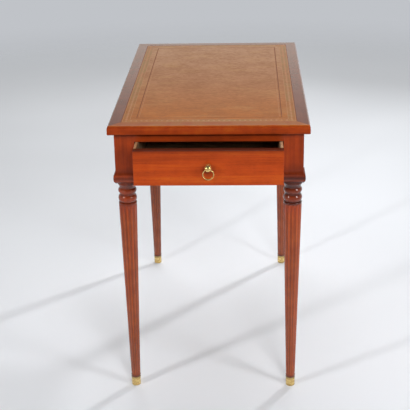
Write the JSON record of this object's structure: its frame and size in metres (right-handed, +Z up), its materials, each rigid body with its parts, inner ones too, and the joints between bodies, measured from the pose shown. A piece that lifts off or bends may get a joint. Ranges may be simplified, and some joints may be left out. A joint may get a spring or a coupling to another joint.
{
  "type": "writing table",
  "caption": "Small mahogany writing table with a tooled leather top, a drawer with a brass ring pull in its short end, and round fluted tapering legs in brass shoes.",
  "frame": {"origin": "on the floor, midway between the four feet under the centre of the top", "axes": "+Z up, +Y along the table's length away from the drawer end, +X across the drawer end to the right of someone facing the drawer"},
  "size_m": [0.5, 0.9436, 0.75],
  "materials": {
    "polished_mahogany": "French polished",
    "bare_oak": "planed, unfinished",
    "tooled_leather": "waxed, tooled border",
    "polished_brass": "polished",
    "steel_screw": "bright, slotted"
  },
  "bodies": {
    "carcass": {"top_frame_front": "polished_mahogany", "top_frame_back": "polished_mahogany", "top_frame_left": "polished_mahogany", "top_frame_right": "polished_mahogany", "leg_front_left": "polished_mahogany", "leg_front_right": "polished_mahogany", "leg_back_left": "polished_mahogany", "leg_back_right": "polished_mahogany", "side_rail_left": "polished_mahogany", "side_rail_right": "polished_mahogany", "back_rail": "polished_mahogany", "front_upper_rail": "polished_mahogany", "front_lower_rail": "polished_mahogany", "top_core_panel": "bare_oak", "drawer_runner_left": "bare_oak", "drawer_runner_right": "bare_oak", "drawer_guide_left": "bare_oak", "drawer_guide_right": "bare_oak", "drawer_kicker_left": "bare_oak", "drawer_kicker_right": "bare_oak", "drawer_stops": "bare_oak", "mitre_keys": "bare_oak", "shoe_front_left": "polished_brass", "shoe_front_right": "polished_brass", "shoe_back_left": "polished_brass", "shoe_back_right": "polished_brass", "shoe_pins": "polished_brass", "leather_writing_surface": "tooled_leather", "top_screws": "steel_screw", "guide_screws": "steel_screw"},
    "drawer": {"drawer_front": "polished_mahogany", "drawer_side_left": "bare_oak", "drawer_side_right": "bare_oak", "drawer_back": "bare_oak", "drawer_bottom": "bare_oak", "drawer_bottom_screws": "steel_screw", "pull_post": "polished_brass", "pull_washer": "polished_brass", "pull_nut": "polished_brass"},
    "ring": {"pull_ring": "polished_brass"}
  },
  "joints": [
    {"name": "drawer_slide", "type": "slide", "parent": "carcass", "child": "drawer", "axis": [0, -1, 0], "range_m": [-0.066, 0.33]},
    {"name": "ring_swing", "type": "hinge", "parent": "drawer", "child": "ring", "pos_m": [0, -0.4915, 0.65725], "axis": [-1, 0, 0], "range_deg": [-10, 95]}
  ]
}
